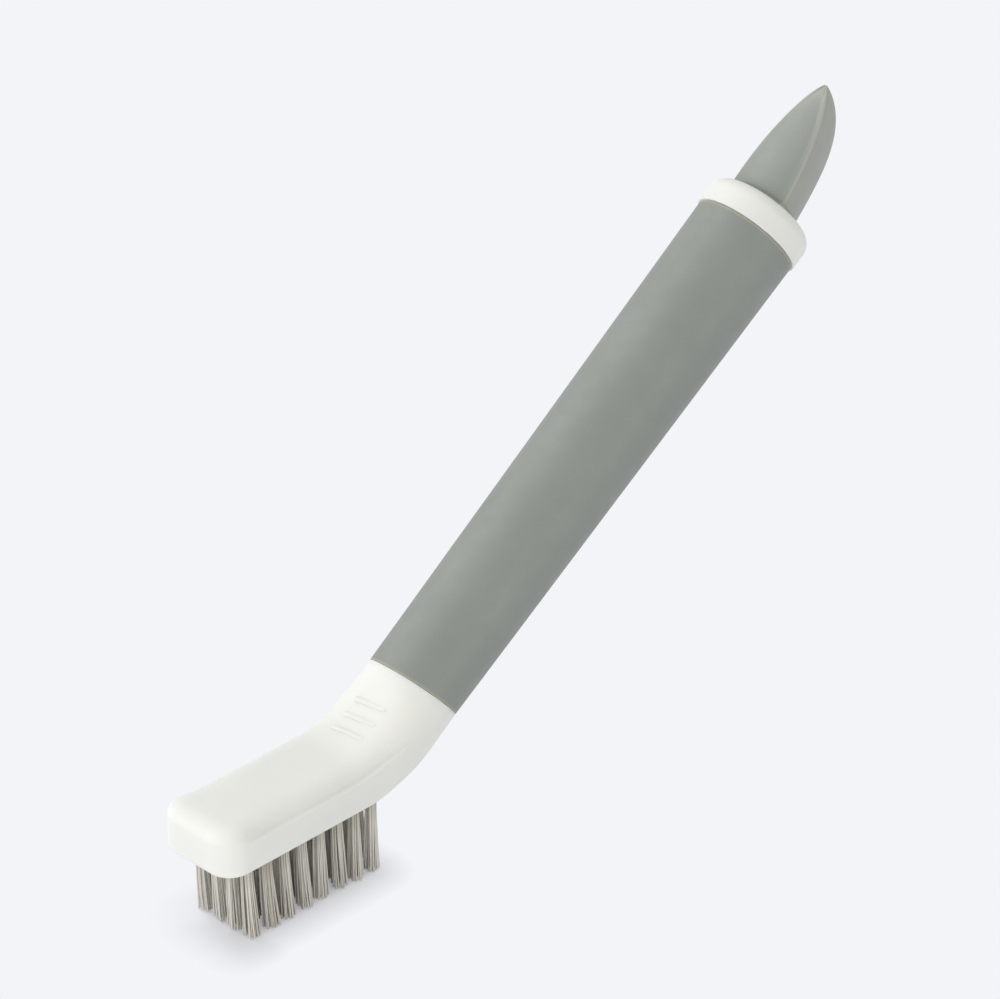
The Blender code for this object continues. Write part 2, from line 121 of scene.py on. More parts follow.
# Filaments
FILAMENTS = 54                  # in each tuft
FILAMENT_RADIUS = 0.15 * MM
FILAMENT_END = 0.12 * MM        # height of the chamfer at the free end
FILAMENT_END_SIZE = 0.55        # of the end's face over the rod
FILAMENT_RINGS = [4.0 * MM, 8.5 * MM, 13.0 * MM]
THINNEST, THICKEST = 0.86, 1.12
TUFT_RADIUS = 1.02 * MM         # at the sole
TUFT_SPREAD = 1.66              # width at the tips over width at the sole
LOCKS = 5                       # in each tuft, drawn together at the tips
LOCK_PULL = 0.3
LOCK_REACH = 0.7                # of the tuft's radius, where a lock has its middle
OWN_TONE = 0.35                 # share of a filament's tone that it doesn't have from its lock
COMMON_LEAN = 0.6 * MM          # of all the tips towards the handle
END_LEAN = 0.5 * MM             # of the first and last row towards each other
SIDE_LEAN = 0.1 * MM            # of the outer columns outwards
LEAN_SCATTER = 0.14 * MM        # from tuft to tuft
STRAY = 0.14 * MM               # of a filament's free end
STRAY_POWER = 1.2
BOW = 0.07 * MM                 # of a filament at half its height
SHORTER = 0.30 * MM
CUT_END = 1.0 * MM              # the stretch at the floor that moves up when a filament is shorter
TUFT_SEED = 7

# Smoothness
CROWN_STEPS = 10
SOLE_STEPS = 6
TOE_STEPS = 14
LEDGE_STEPS = 6
BEND_STEPS = 22
HOLE_SIDES = 24
RIB_SIDES = 24
RIB_RINGS = 16
ROUND_SIDES = 96
GRIP_STEPS = 8
RIM_STEPS = 8
TIP_STEPS = 24
TIP_FACE_STEPS = 28
TIP_RIM_STEPS = 6
TIP_KEEL_STEPS = 28
FILAMENT_SIDES = 6
SMOOTH_ANGLE = math.radians(35)

BENCH = 1.0                     # where on X the neck's sections are shaped
TINY = 0.001 * MM
HALF_THICKNESS = HEAD_THICKNESS / 2
MIDDLE = SOLE + HALF_THICKNESS
CROWN_LINE = MIDDLE + HALF_THICKNESS - CROWN_DROP
BEND_CENTRE = Vector((HEAD_STRAIGHT, 0, MIDDLE + BEND_RADIUS))
ALONG = Vector((math.cos(RISE), 0, math.sin(RISE)))
UP = Vector((-math.sin(RISE), 0, math.cos(RISE)))
BEND_END = BEND_CENTRE - UP * BEND_RADIUS
SEAM_MIDDLE = BEND_END + ALONG * NECK_RUNOUT
TIP_START = GRIP_LENGTH + GAP + COLLAR_LENGTH + SEAM
HEAD_PLACE = Matrix.Translation((TOE, 0, 0))
HANDLE_PLACE = HEAD_PLACE @ Matrix.Translation(SEAM_MIDDLE) @ Matrix(
    (ALONG, Vector((0, 1, 0)), UP)).transposed().to_4x4()


# Modelling helpers

def deselect():
    bpy.ops.object.select_all(action="DESELECT")


def take(piece):
    """Selects one piece alone and makes it the active one."""
    deselect()
    piece.select_set(True)
    bpy.context.view_layer.objects.active = piece


def edit(piece):
    """Opens one piece in edit mode."""
    take(piece)
    bpy.ops.object.mode_set(mode="EDIT")


def close(piece):
    """Merges doubles, turns the faces outwards and leaves edit mode."""
    bpy.ops.mesh.select_mode(type="VERT")
    pick_all()
    bpy.ops.mesh.remove_doubles(threshold=TINY)
    bpy.ops.mesh.normals_make_consistent(inside=False)
    if bmesh.from_edit_mesh(piece.data).calc_volume(signed=True) < 0:
        bpy.ops.mesh.flip_normals()
    pick_none()
    bpy.ops.object.mode_set(mode="OBJECT")


def named(name):
    """Names the piece that was just added, and takes its place into its mesh."""
    piece = bpy.context.active_object
    piece.name = name
    piece.data.name = name
    bpy.ops.object.transform_apply(location=True, rotation=True, scale=True)
    return piece


def pick_all():
    bpy.ops.mesh.select_all(action="SELECT")


def pick_none():
    bpy.ops.mesh.select_all(action="DESELECT")


def pick(piece, kind, test):
    """Selects the corners, edges or faces that pass the test, and nothing else."""
    bpy.ops.mesh.select_mode(type=kind)
    pick_none()
    mesh = bmesh.from_edit_mesh(piece.data)
    parts = {"VERT": mesh.verts, "EDGE": mesh.edges, "FACE": mesh.faces}[kind]
    for part in parts:
        if test(part):
            part.select_set(True)
    mesh.select_flush_mode()
    bmesh.update_edit_mesh(piece.data)


def pick_corners(piece, test):
    pick(piece, "VERT", lambda corner: test(corner.co))


def pick_open(piece):
    """Selects every edge that has no face on one side or on both."""
    pick(piece, "EDGE", lambda edge: edge.is_boundary or edge.is_wire)


def bridge_sections(piece):
    """Joins the piece's open end to the section that was drawn last."""
    pick_open(piece)
    bpy.ops.mesh.bridge_edge_loops()


def cap(piece):
    """Closes the piece's open end with one face."""
    pick_open(piece)
    bpy.ops.mesh.edge_face_add()


def slice_through(place, normal):
    """Adds corners all round the selection where a plane meets it."""
    bpy.ops.mesh.bisect(plane_co=place, plane_no=normal)


def round_edges(radius, steps):
    bpy.ops.mesh.bevel(offset=radius, offset_type="OFFSET", segments=steps, profile=0.5, affect="EDGES")


def round_corners(radius, steps):
    bpy.ops.mesh.bevel(offset=radius, offset_type="ABSOLUTE", segments=steps, profile=0.5, affect="VERTICES")


def rotate(angle, axis, centre):
    bpy.ops.transform.rotate(value=angle, orient_axis=axis, orient_type="GLOBAL", center_override=centre)


def swing(angle, centre):
    """Turns the selection about Y so that what hangs below the centre moves towards +X."""
    rotate(angle, "Y", centre)


def shift(offset):
    bpy.ops.transform.translate(value=offset)


def stretch(factors, centre):
    bpy.ops.transform.resize(value=factors, center_override=centre)


def place(piece, matrix):
    """Moves a finished piece to its place and leaves its object at the origin."""
    take(piece)
    piece.matrix_world = matrix
    bpy.ops.object.transform_apply(location=True, rotation=True, scale=True)


def smooth(piece, weighted=True):
    """Shades a piece smoothly, with the light following its larger faces where it is weighted."""
    take(piece)
    bpy.ops.object.shade_smooth_by_angle(angle=SMOOTH_ANGLE)
    if weighted:
        bpy.ops.object.modifier_add(type="WEIGHTED_NORMAL")
        piece.modifiers[-1].keep_sharp = True
        bpy.ops.object.modifier_apply(modifier=piece.modifiers[-1].name)


def mix(low, high, share):
    return low + (high - low) * share


def ease(low, high, value):
    """0 up to low and 1 from high on, with a smooth rise between them."""
    share = min(max((value - low) / (high - low), 0.0), 1.0)
    return share * share * (3 - 2 * share)


def soft_least(first, second, blend):
    """The lesser of two values, rounded off where they are nearly equal."""
    overlap = max(blend - abs(first - second), 0.0) / blend
    return min(first, second) - overlap * overlap * blend / 4


# Head and neck

def head_block():
    """The straight part of the head: a block with rolled edges, open towards the neck.

    The crown is rolled in a circle on a taller block and then pressed down to its drop.
    """
    spare = CROWN_WIDTH - CROWN_DROP
    deselect()
    bpy.ops.mesh.primitive_cube_add(size=1, location=(HEAD_STRAIGHT / 2, 0, MIDDLE + spare / 2),
                                    scale=(HEAD_STRAIGHT, HEAD_WIDTH, HEAD_THICKNESS + spare))
    body = named("brush_moulding")
    edit(body)
    top = MIDDLE + HALF_THICKNESS + spare - TINY
    bottom = SOLE + TINY
    far = HEAD_STRAIGHT - TINY
    pick(body, "EDGE", lambda edge: max(corner.co.x for corner in edge.verts) < TINY
         and abs(edge.verts[0].co.z - edge.verts[1].co.z) > HALF_THICKNESS)
    round_edges(TOE_RADIUS, TOE_STEPS)
    for is_there, radius, steps in ((lambda co: co.z > top, CROWN_WIDTH, CROWN_STEPS),
                                    (lambda co: co.z < bottom, SOLE_RADIUS, SOLE_STEPS)):
        pick(body, "EDGE", lambda edge: all(is_there(corner.co) for corner in edge.verts)
             and not all(corner.co.x > far for corner in edge.verts))
        round_edges(radius, steps)
    pick(body, "FACE", lambda face: all(corner.co.x > far for corner in face.verts))
    bpy.ops.mesh.delete(type="FACE")
    pick_corners(body, lambda co: co.z > CROWN_LINE - TINY)
    stretch((1, 1, CROWN_DROP / CROWN_WIDTH), (0, 0, CROWN_LINE))
    return body


def ledge_heights(crown_line, drop):
    """Heights of the ledge's soft step, from its foot up to the crown."""
    return [crown_line - drop * (1 - i / LEDGE_STEPS) for i in range(LEDGE_STEPS + 1)]


def step_in(body, is_here, heights, depth):
    """Draws in what stands above each height of the ledge, a little more at each."""
    for i in range(1, len(heights)):
        rise = ease(0, 1, i / LEDGE_STEPS) - ease(0, 1, (i - 1) / LEDGE_STEPS)
        for side in (-1, 1):
            pick_corners(body, lambda co: is_here(co) and co.z > heights[i] - TINY and co.y * side > TINY)
            shift((0, -side * depth * rise, 0))


def cut_ledge(body):
    """The small step along each side of the head, which fades in behind the toe."""
    heights = ledge_heights(CROWN_LINE, LEDGE_DROP)
    for height in heights[:-1]:
        pick_all()
        slice_through((0, 0, height), (0, 0, 1))
    for station in LEDGE_STATIONS:
        pick_all()
        slice_through((station, 0, 0), (1, 0, 0))
    for station in LEDGE_STATIONS + [HEAD_STRAIGHT]:
        depth = LEDGE_DEPTH * ease(LEDGE_STATIONS[0], LEDGE_STATIONS[-1], station)
        step_in(body, lambda co: abs(co.x - station) < TINY, heights, depth)


def on_bench(co):
    return co.x > BENCH / 2


def neck_top(share):
    """Height of the neck's top over its middle, at a share of the way round the bend."""
    return mix(HALF_THICKNESS, GRIP_RADIUS, share ** TOP_FLARE)


def neck_section(body, share):
    """Shapes one section of the neck on the bench: a plane with rounded corners and a step in its side.

    Its heights are counted from the neck's middle, until it is moved to its place on the bend.
    """
    angle = share * RISE
    flat = (BEND_RADIUS + HALF_THICKNESS) / math.cos(angle)
    line = (BEND_RADIUS + GRIP_RADIUS) / math.cos(RISE - angle)
    bottom = soft_least(flat, line, HEEL_BLEND) - BEND_RADIUS
    half_width = mix(HEAD_WIDTH / 2, GRIP_RADIUS, share)
    round_radius = GRIP_RADIUS - SIDE_FLAT
    crown_width = mix(CROWN_WIDTH, round_radius, share ** CROWN_FLARE)
    crown_drop = mix(CROWN_DROP, round_radius, share ** DROP_FLARE)
    sole = mix(SOLE_RADIUS, round_radius, ease(*HEEL_ROUNDING, share))
    crown_line = neck_top(share) - crown_drop
    high = crown_line + crown_width
    middle = (BENCH, 0, (high - bottom) / 2)
    pick_none()
    bpy.ops.mesh.primitive_plane_add(size=1, location=middle, rotation=(0, math.pi / 2, 0))
    stretch((1, 2 * half_width, high + bottom), middle)
    pick_corners(body, lambda co: on_bench(co) and co.z > high - TINY)
    round_corners(crown_width, CROWN_STEPS)
    pick_corners(body, lambda co: on_bench(co) and co.z > crown_line - TINY)
    stretch((1, 1, crown_drop / crown_width), (BENCH, 0, crown_line))
    pick_corners(body, lambda co: on_bench(co) and co.z < TINY - bottom)
    round_corners(sole, SOLE_STEPS)
    pick_corners(body, on_bench)
    bpy.ops.mesh.delete(type="ONLY_FACE")
    heights = ledge_heights(crown_line, min(LEDGE_DROP, (crown_line + bottom - sole) / 2))
    for height in heights[:-1]:
        pick_corners(body, on_bench)
        slice_through((BENCH, 0, height), (0, 0, 1))
    step_in(body, on_bench, heights, LEDGE_DEPTH * (1 - ease(*LEDGE_FADE, share)))
    pick_corners(body, on_bench)
    shift((HEAD_STRAIGHT - BENCH, 0, MIDDLE))
    swing(angle, BEND_CENTRE)


def drill_holes(body):
    """Blind holes in the sole, cut with one drill that is copied to each place."""
    deselect()
    bpy.ops.mesh.primitive_cylinder_add(vertices=HOLE_SIDES, radius=HOLE_RADIUS, depth=2 * HOLE_DEPTH,
                                        location=(TOE_MARGIN, -(COLUMNS - 1) / 2 * COLUMN_PITCH, SOLE))
    drills = named("drills")
    for count, offset in ((ROWS, (ROW_PITCH, 0, 0)), (COLUMNS, (0, COLUMN_PITCH, 0))):
        array = drills.modifiers.new("Array", "ARRAY")
        array.count = count
        array.use_relative_offset = False
        array.use_constant_offset = True
        array.constant_offset_displace = offset
        bpy.ops.object.modifier_apply(modifier=array.name)
    take(body)
    cut = body.modifiers.new("Holes", "BOOLEAN")
    cut.operation = "DIFFERENCE"
    cut.solver = "FAST"
    cut.object = drills
    bpy.ops.object.modifier_apply(modifier=cut.name)
    bpy.data.objects.remove(drills)


def brush_moulding():
    """Head, neck and core in one piece. The neck's last section has the slant of the grip's seam."""
    body = head_block()
    cut_ledge(body)
    for i in range(1, BEND_STEPS + 1):
        neck_section(body, i / BEND_STEPS)
        if i == BEND_STEPS:
            swing(GRIP_SLANT, BEND_END)
            shift(ALONG * NECK_RUNOUT)
        bridge_sections(body)
    cap(body)
    bpy.ops.mesh.inset(thickness=GRIP_RADIUS - CORE_RADIUS)
    bpy.ops.mesh.extrude_region_move(TRANSFORM_OT_translate={"value": ALONG * (GRIP_LENGTH - GAP)})
    close(body)
    drill_holes(body)
    place(body, HEAD_PLACE)
    return body


def rib_bead():
    """One low rounded rib on top of the neck where the bend starts, turned a little."""
    spot = (HEAD_STRAIGHT, 0, MIDDLE + HALF_THICKNESS)
    deselect()
    bpy.ops.mesh.primitive_uv_sphere_add(segments=RIB_SIDES, ring_count=RIB_RINGS, radius=RIB_WIDTH / 2,
                                         location=spot, rotation=(math.pi / 2, 0, 0))
    bead = named("rib_bead")
    edit(bead)
    for side in (-1, 1):
        pick_corners(bead, lambda co: co.y * side > TINY)
        shift((0, side * (RIB_LENGTH - RIB_WIDTH) / 2, 0))
    pick_all()
    stretch((1, 1, 2 * RIB_HEIGHT / RIB_WIDTH), spot)
    rotate(-RIB_TURN, "Z", spot)
    close(bead)
    return bead


def neck_ribs():
    """The bead is modelled once, and its copies are raised onto the neck's top and set round the bend."""
    bead = rib_bead()
    ribs = []
    for i in range(RIB_COUNT):
        share = (RIB_FIRST + i * RIB_PITCH) / (BEND_RADIUS * RISE)
        name = f"neck_rib_{i + 1}"
        rib = bpy.data.objects.new(name, bead.data.copy())
        rib.data.name = name
        bpy.context.collection.objects.link(rib)
        edit(rib)
        pick_all()
        shift((0, 0, neck_top(share) - HALF_THICKNESS))
        swing(share * RISE, BEND_CENTRE)
        close(rib)
        place(rib, HEAD_PLACE)
        ribs.append(rib)
    bpy.data.objects.remove(bead)
    return ribs


# Turned pieces

def start_chain(name, spot):
    """A new piece in edit mode that is a single corner."""
    deselect()
    bpy.ops.mesh.primitive_plane_add(size=MM)
    piece = named(name)
    edit(piece)
    pick_all()
    bpy.ops.mesh.merge(type="CENTER")
    shift(spot)
    return piece


def add_corner(spot):
    """One more single corner, in the piece that is being edited."""
    bpy.ops.mesh.select_mode(type="VERT")
    pick_none()
    bpy.ops.mesh.primitive_plane_add(size=MM, location=spot)
    bpy.ops.mesh.merge(type="CENTER")


def draw_chain(piece, spots, closed):
    """Extrudes the selected corner, which is at the first spot, from spot to spot."""
    for spot, following in zip(spots, spots[1:]):
        step = Vector(following) - Vector(spot)
        bpy.ops.mesh.extrude_vertices_move(TRANSFORM_OT_translate={"value": step})
    if closed:
        pick(piece, "VERT", lambda corner: len(corner.link_edges) == 1)
        bpy.ops.mesh.edge_face_add()


def turned(name, profile, closed=False):
    """Spins a profile round the handle's axis. Each of its spots is x and radius."""
    spots = [(x, 0, radius) for x, radius in profile]
    piece = start_chain(name, spots[0])
    draw_chain(piece, spots, closed)
    pick_all()
    bpy.ops.mesh.spin(steps=ROUND_SIDES, angle=2 * math.pi, center=(0, 0, 0), axis=(1, 0, 0))
    pick_all()
    bpy.ops.mesh.remove_doubles(threshold=TINY)
    return piece


def rounded_edge(x, radius, size, start, end):
    """Spots along an arc, from one turn to another, round a centre at x and radius."""
    return [(x + size * math.sin(mix(start, end, i / RIM_STEPS)),
             radius + size * math.cos(mix(start, end, i / RIM_STEPS))) for i in range(RIM_STEPS + 1)]


def grip_cover():
    """The rubber tube: its lower end is slanted with the seam."""
    bore = CORE_RADIUS + GAP
    edge = GRIP_EDGE
    profile = [(SEAM, bore)]
    profile += rounded_edge(SEAM + edge, GRIP_RADIUS - edge, edge, -math.pi / 2, 0.0)
    profile += [(GRIP_LENGTH * i / GRIP_STEPS, mix(GRIP_RADIUS, GRIP_END_RADIUS, i / GRIP_STEPS))
                for i in range(1, GRIP_STEPS)]
    profile += rounded_edge(GRIP_LENGTH - edge, GRIP_END_RADIUS - edge, edge, 0.0, math.pi / 2)
    profile += [(GRIP_LENGTH, bore)]
    grip = turned("grip_cover", profile, closed=True)
    pick_corners(grip, lambda co: co.x < 2 * edge)
    stretch((1, 1, 1 / math.cos(GRIP_SLANT)), (0, 0, 0))
    swing(GRIP_SLANT, (0, 0, 0))
    close(grip)
    place(grip, HANDLE_PLACE)
    return grip


def collar_ring():
    """The white end ring, sharp towards the grip and with a deep round rim towards the tip."""
    back = GRIP_LENGTH + SEAM
    front = GRIP_LENGTH + GAP + COLLAR_LENGTH
    edge = COLLAR_EDGE
    profile = [(back, 0.0)]
    profile += rounded_edge(back + edge, COLLAR_RADIUS - edge, edge, -math.pi / 2, 0.0)
    profile += rounded_edge(front - COLLAR_RIM, COLLAR_RADIUS - COLLAR_RIM, COLLAR_RIM, 0.0, math.pi / 2)
    profile += [(front, 0.0)]
    collar = turned("collar_ring", profile)
    close(collar)
    place(collar, HANDLE_PLACE)
    return collar


# Scraper tip

def tip_outline(share):
    """Spots round one section of the tip, at a share of its length.

    The section has a domed face, a soft raised rim on each edge and a deep keel, and is drawn in at
    the foot.
    """
    half_width = TIP_WIDTH / 2 * (1 - share ** PLAN_POWER) ** PLAN_ROUNDING
    rim = min(TIP_RIM, half_width * TIP_RIM_MOST)
    reach = min(TIP_RIM_REACH, half_width * TIP_REACH_MOST)
    rise = TIP_RIM_RISE * rim / TIP_RIM
    edge = mix(TIP_EDGE_HEIGHT, TIP_POINT_HEIGHT, share)
    depth = TIP_DEPTH * math.sqrt(1 - share ** KEEL_POWER)
    flat = math.cos(TIP_CROWN_TURN)
    side = []
    for i in range(TIP_FACE_STEPS // 2 + 1):
        turn = TIP_CROWN_TURN * 2 * i / TIP_FACE_STEPS
        y = (half_width - rim) * math.sin(turn) / math.sin(TIP_CROWN_TURN)
        swell = TIP_CROWN * (1 - share) * (math.cos(turn) - flat) / (1 - flat)
        side.append((y, edge + swell + rise * ease(half_width - reach, half_width - rim, y)))
    for i in range(1, TIP_RIM_STEPS + 1):
        turn = math.pi / 2 * (1 - i / TIP_RIM_STEPS)
        side.append((half_width + rim * (math.cos(turn) - 1), edge + rise + rim * (math.sin(turn) - 1)))
    for i in range(1, TIP_KEEL_STEPS // 2 + 1):
        turn = math.pi * i / TIP_KEEL_STEPS
        side.append((half_width * math.cos(turn), edge + rise - rim - (depth + rise - rim) * math.sin(turn)))
    around = side + [(-y, z) for y, z in reversed(side[1:-1])]
    foot = mix(TIP_FOOT, 1.0, ease(TIP_FOOT_STEPS[0], TIP_FOOT_STEPS[-1], share * TIP_LENGTH))
    return [(TIP_START + share * TIP_LENGTH, y * foot - TIP_SHIFT, z * foot) for y, z in around]


def scraper_tip():
    """Sections drawn one by one and bridged, closer together at the foot and towards the point."""
    shares = [0.0] + [step / TIP_LENGTH for step in TIP_FOOT_STEPS]
    shares += [TIP_LAST_SHARE * math.sin(math.pi / 2 * i / (TIP_STEPS - 1)) for i in range(1, TIP_STEPS)]
    first, *others = [tip_outline(share) for share in shares]
    tip = start_chain("scraper_tip", first[0])
    draw_chain(tip, first, closed=True)
    for outline in others:
        add_corner(outline[0])
        draw_chain(tip, outline, closed=True)
        bridge_sections(tip)
        if outline is others[0]:
            pick(tip, "EDGE", lambda edge: edge.is_boundary and edge.verts[0].co.x < TIP_START + TINY)
            bpy.ops.mesh.edge_face_add()
    cap(tip)
    close(tip)
    place(tip, HANDLE_PLACE)
    return tip


# Tufts

def filament():
    """One filament, modelled once and then copied: a thin rod with rings to bend at and a chamfered end."""
    length = SOLE + HOLE_DEPTH / 3
    deselect()
    bpy.ops.mesh.primitive_cylinder_add(vertices=FILAMENT_SIDES, radius=FILAMENT_RADIUS, depth=length,
                                        location=(0, 0, length / 2))
    rod = named("filament")
    edit(rod)
    for height in [FILAMENT_END] + FILAMENT_RINGS:
        pick_all()
        slice_through((0, 0, height), (0, 0, 1))
    pick_corners(rod, lambda co: co.z < TINY)
    stretch((FILAMENT_END_SIZE, FILAMENT_END_SIZE, 1), (0, 0, 0))
    close(rod)
    return rod


def towards(turn):
    """A step of length 1 along the floor, in the direction of a turn."""
    return Vector((math.cos(turn), math.sin(turn), 0))


def scatter(chance, size):
    """A small step along the floor by chance."""
    return Vector((chance.gauss(0, size), chance.gauss(0, size), 0))


def tuft(name, row, column, rod, chance):
    """Copies of the filament, packed like seeds in a flower head and spreading towards the floor.

    Each corner keeps its filament's tone, and how far down it is, for the finish.
    """
    middle = Vector((TOE_MARGIN + row * ROW_PITCH, (column - (COLUMNS - 1) / 2) * COLUMN_PITCH, 0))
    lean = Vector((COMMON_LEAN - END_LEAN * (2 * row / (ROWS - 1) - 1),
                   SIDE_LEAN * (2 * column / (COLUMNS - 1) - 1), 0)) + scatter(chance, LEAN_SCATTER)
    mesh = bmesh.new()
    tone = mesh.verts.layers.float.new("tone")
    depth = mesh.verts.layers.float.new("down")
    locks = [chance.random() for _ in range(LOCKS)]
    first_turn = chance.uniform(0, 2 * math.pi)
    for i in range(FILAMENTS):
        turn = i * math.pi * (3 - math.sqrt(5))
        lock = int(LOCKS * turn / (2 * math.pi)) % LOCKS
        lock_turn = first_turn + (lock + 0.5) * 2 * math.pi / LOCKS
        root = towards(first_turn + turn) * TUFT_RADIUS * math.sqrt((i + 0.5) / FILAMENTS)
        pull = towards(lock_turn) * LOCK_REACH * TUFT_RADIUS - root
        stray = scatter(chance, STRAY)
        bow = scatter(chance, BOW)
        shorter = abs(chance.gauss(0, SHORTER))
        shade = mix(locks[lock], chance.random(), OWN_TONE)
        size = chance.uniform(THINNEST, THICKEST)
        first = len(mesh.verts)
        mesh.from_mesh(rod.data)
        mesh.verts.ensure_lookup_table()
        for corner in mesh.verts[first:]:
            if corner.co.z < CUT_END:
                corner.co.z += shorter
            down = 1 - min(corner.co.z / SOLE, 1.0)
            across = Vector((corner.co.x * size, corner.co.y * size, corner.co.z))
            offset = (root + pull * LOCK_PULL * down) * mix(1.0, TUFT_SPREAD, down)
            offset += (lean + stray) * down ** STRAY_POWER
            offset += bow * math.sin(math.pi * down)
            corner.co = across + offset + middle
            corner[tone] = shade
            corner[depth] = down
    made = bpy.data.meshes.new(name)
    mesh.to_mesh(made)
    mesh.free()
    piece = bpy.data.objects.new(name, made)
    bpy.context.collection.objects.link(piece)
    place(piece, HEAD_PLACE)
    smooth(piece, weighted=False)
    return piece


# Nodes of the finishes

def add_node(tree, kind, inputs=None, **settings):
    """Adds a node. Inputs are set by name or number, or linked where the value is a socket."""
    made = tree.nodes.new(kind)
    for name, value in settings.items():
        setattr(made, name, value)
    for name, value in (inputs or {}).items():
        if isinstance(value, bpy.types.NodeSocket):
            tree.links.new(value, made.inputs[name])
        else:
            made.inputs[name].default_value = value
    return made


def new_finish(name):
    made = bpy.data.materials.new(name)
    made.use_nodes = True
    tree = made.node_tree
    where = add_node(tree, "ShaderNodeTexCoord").outputs["Object"]
    return made, tree, tree.nodes["Principled BSDF"], where


def bare_tree(owner):
    """The nodes of a material or a world, emptied."""
    owner.use_nodes = True
    owner.node_tree.nodes.clear()
    return owner.node_tree


def reckon(tree, operation, first, second):
    """One sum with two numbers."""
    return add_node(tree, "ShaderNodeMath", {0: first, 1: second}, operation=operation).outputs[0]


def reckon_place(tree, operation, first, second=(0, 0, 0), output="Vector"):
    """One sum with two places."""
    made = add_node(tree, "ShaderNodeVectorMath", {0: first, 1: second}, operation=operation)
    return made.outputs[output]


def rescale(tree, value, from_low, from_high, low=0.0, high=1.0):
    """Maps a value from one range onto another, and holds it at the ends."""
    return add_node(tree, "ShaderNodeMapRange", {"Value": value, "From Min": from_low, "From Max": from_high,
                                                 "To Min": low, "To Max": high}).outputs["Result"]


def grain(tree, where, scale, detail=2.0):
    return add_node(tree, "ShaderNodeTexNoise", {"Vector": where, "Scale": scale,
                                                 "Detail": detail}).outputs["Fac"]


NOISE_LOW, NOISE_HIGH = 0.3, 0.7    # a noise mostly lies between these


def spread(tree, value, low, high):
    """Maps a noise onto a range."""
    return rescale(tree, value, NOISE_LOW, NOISE_HIGH, low, high)


def ramp(tree, value, *stops):
    made = add_node(tree, "ShaderNodeValToRGB", {"Fac": value})
    steps = made.color_ramp.elements
    while len(steps) < len(stops):
        steps.new(0.5)
    for step, (spot, colour) in zip(steps, stops):
        step.position = spot
        step.color = (*colour, 1.0)
    return made.outputs["Color"]


def blend(tree, share, first, second, kind="MIX"):
    """Mixes two colours. The node has its colours at inputs 6 and 7, and its result at output 2."""
    made = add_node(tree, "ShaderNodeMix", {"Factor": share}, data_type="RGBA", blend_type=kind)
    for socket, value in ((made.inputs[6], first), (made.inputs[7], second)):
        if isinstance(value, bpy.types.NodeSocket):
            tree.links.new(value, socket)
        else:
            socket.default_value = (*value, 1.0)
    return made.outputs[2]


def bumps(tree, shader, *layers):
    """Chains bumps, each given as height, strength and distance."""
    normal = None
    for height, strength, distance in layers:
        inputs = {"Height": height, "Strength": strength, "Distance": distance}
        if normal:
            inputs["Normal"] = normal
        normal = add_node(tree, "ShaderNodeBump", inputs).outputs["Normal"]
    tree.links.new(normal, shader.inputs["Normal"])


# Finishes

WHITE_DIM = (0.815, 0.820, 0.775)
WHITE_BRIGHT = (0.845, 0.850, 0.808)
MILKY_REACH = (2.6 * MM, 2.4 * MM, 2.0 * MM)    # of red, green and blue light inside the plastic
GRIP_GREY = ((0.222, 0.241, 0.217), (0.248, 0.268, 0.242))
SCRAPER_GREY = ((0.262, 0.281, 0.255), (0.290, 0.309, 0.282))
KEEL_GREY = (0.335, 0.349, 0.312)
LIP_OLIVE = (0.335, 0.332, 0.255)
# olive of the tip's point, and of its rim, where the lighter colour is also a painted highlight
RIM_HIGHLIGHT_AND_POINT_OLIVE = (0.35, 0.357, 0.307)
NYLON_DARK = (0.56, 0.525, 0.45)
NYLON_BEIGE = (0.67, 0.645, 0.58)
NYLON_PALE = (0.78, 0.765, 0.71)
# painted shade of the filaments near their roots, under the head
ROOT_SHADE = (0.72, 0.68, 0.62)
UNSHADED = (1.0, 1.0, 1.0)


def white_plastic(name, brightness=1.0, milky=0.35):
    """Moulded polypropylene: satin, with slow drifts of tone and a very fine grain, milky unless told."""
    made, tree, shader, where = new_finish(name)
    dim, bright = ([brightness * part for part in colour] for colour in (WHITE_DIM, WHITE_BRIGHT))
    drift = grain(tree, where, 70.0, detail=3.0)
    colour = ramp(tree, drift, (NOISE_LOW, dim), (NOISE_HIGH, bright))
    patches = grain(tree, where, 260.0, detail=3.0)
    tree.links.new(colour, shader.inputs["Base Color"])
    tree.links.new(spread(tree, patches, 0.42, 0.54), shader.inputs["Roughness"])
    bumps(tree, shader, (grain(tree, where, 160.0), 0.10, 0.10 * MM),
          (grain(tree, where, 3500.0), 0.10, 0.02 * MM))
    shader.inputs["Specular IOR Level"].default_value = 0.25
    shader.inputs["Subsurface Weight"].default_value = milky
    shader.inputs["Subsurface Radius"].default_value = MILKY_REACH
    shader.inputs["Subsurface Scale"].default_value = 1.0
    return made


def handle_plane(lean, x, z):
    """A plane across the handle, as its normal and offset: it leans about Y and passes through x and z."""
    normal = HANDLE_PLACE.to_3x3() @ Vector((math.cos(lean), 0, math.sin(lean)))
    return normal, normal.dot(HANDLE_PLACE @ Vector((x, 0, z)))


def past_plane(tree, where, plane, first, last):
    """0 before a plane and 1 past it, rising between two distances from it."""
    normal, offset = plane
    along = reckon_place(tree, "DOT_PRODUCT", where, normal, output="Value")
    return rescale(tree, along, offset + first, offset + last)


